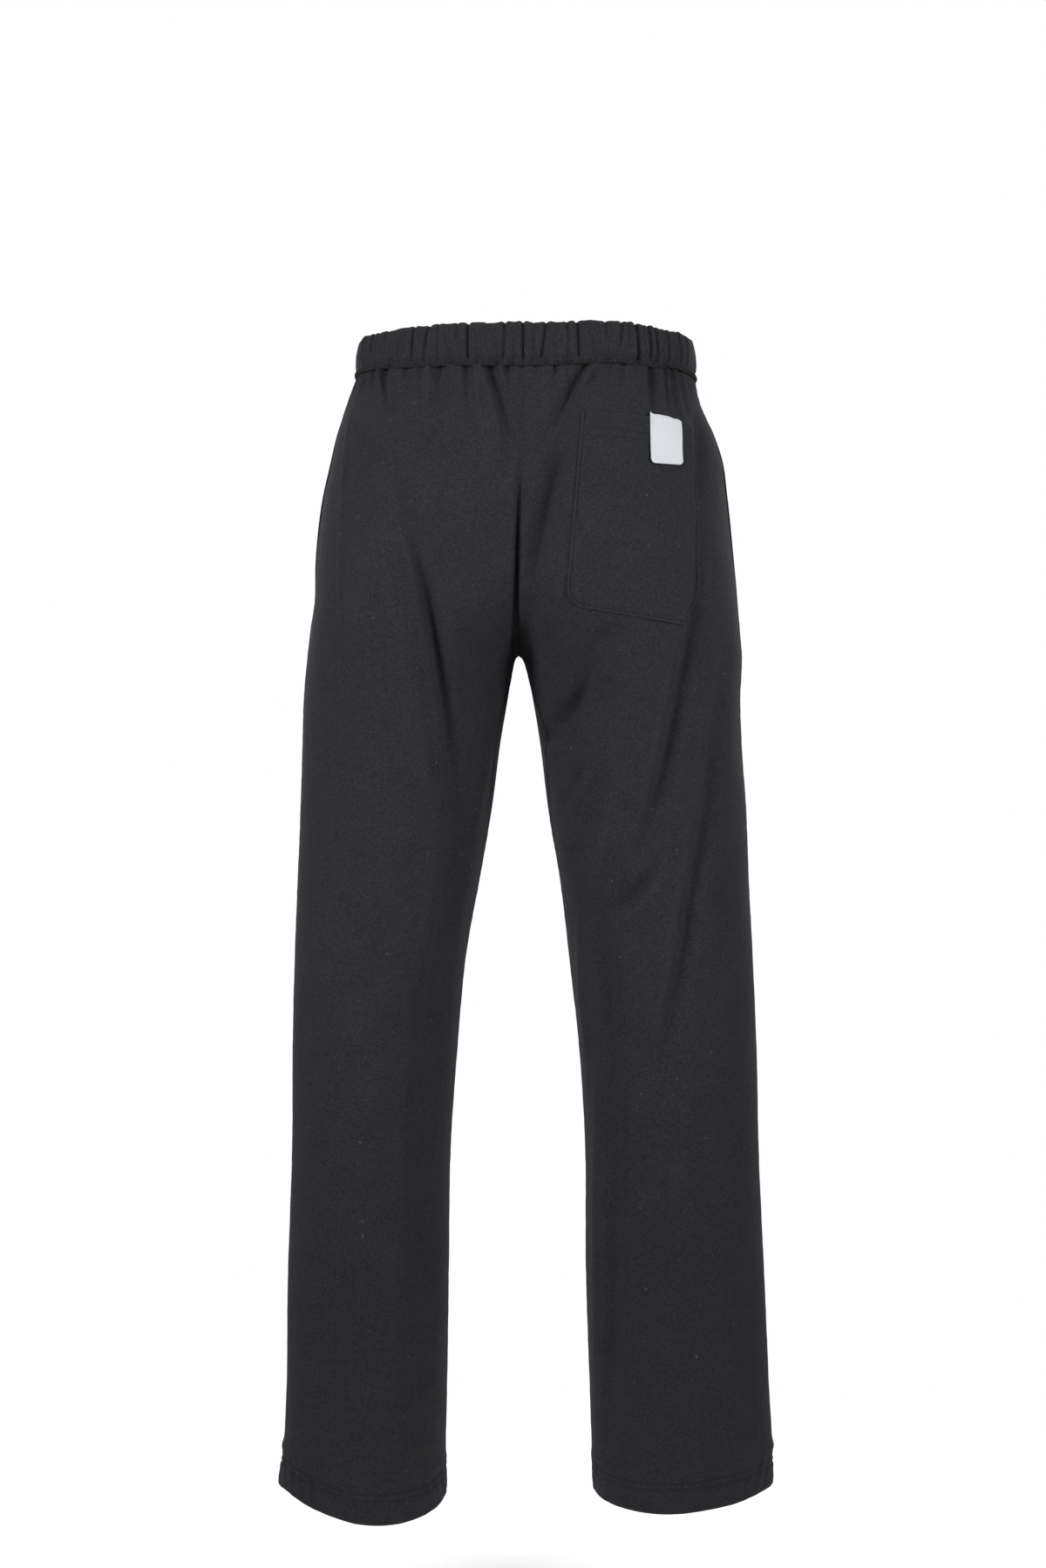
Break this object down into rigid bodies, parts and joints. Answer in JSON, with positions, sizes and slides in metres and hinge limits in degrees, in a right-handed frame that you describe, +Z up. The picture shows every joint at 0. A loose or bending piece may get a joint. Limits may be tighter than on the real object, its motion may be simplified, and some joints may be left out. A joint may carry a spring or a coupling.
{
  "type": "sweatpants",
  "caption": "Straight-leg black sweatpants, worn and hollow, with a gathered elastic waistband, side-seam pockets, a patch pocket with a plain label on the seat, and open hems.",
  "frame": {"origin": "middle of the waistband ring at half its height, where the wearer's waist holds it", "axes": "+Z up, front of the garment towards -Y, wearer's left towards +X"},
  "size_m": [0.4347, 0.2511, 1.0363],
  "materials": {
    "back_panel_left": "brushed knit",
    "back_panel_right": "brushed knit",
    "front_panel_left": "brushed knit",
    "front_panel_right": "brushed knit",
    "waistband": "brushed knit, gathered",
    "back_pocket": "brushed knit",
    "pocket_label": "smooth woven tape",
    "pocket_facing_left": "brushed knit",
    "pocket_facing_right": "brushed knit"
  },
  "bodies": {
    "root": {"back_panel_left": "back_panel_left", "back_panel_right": "back_panel_right", "front_panel_left": "front_panel_left", "front_panel_right": "front_panel_right", "waistband": "waistband", "back_pocket": "back_pocket", "pocket_label": "pocket_label", "pocket_facing_left": "pocket_facing_left", "pocket_facing_right": "pocket_facing_right"}
  },
  "joints": []
}
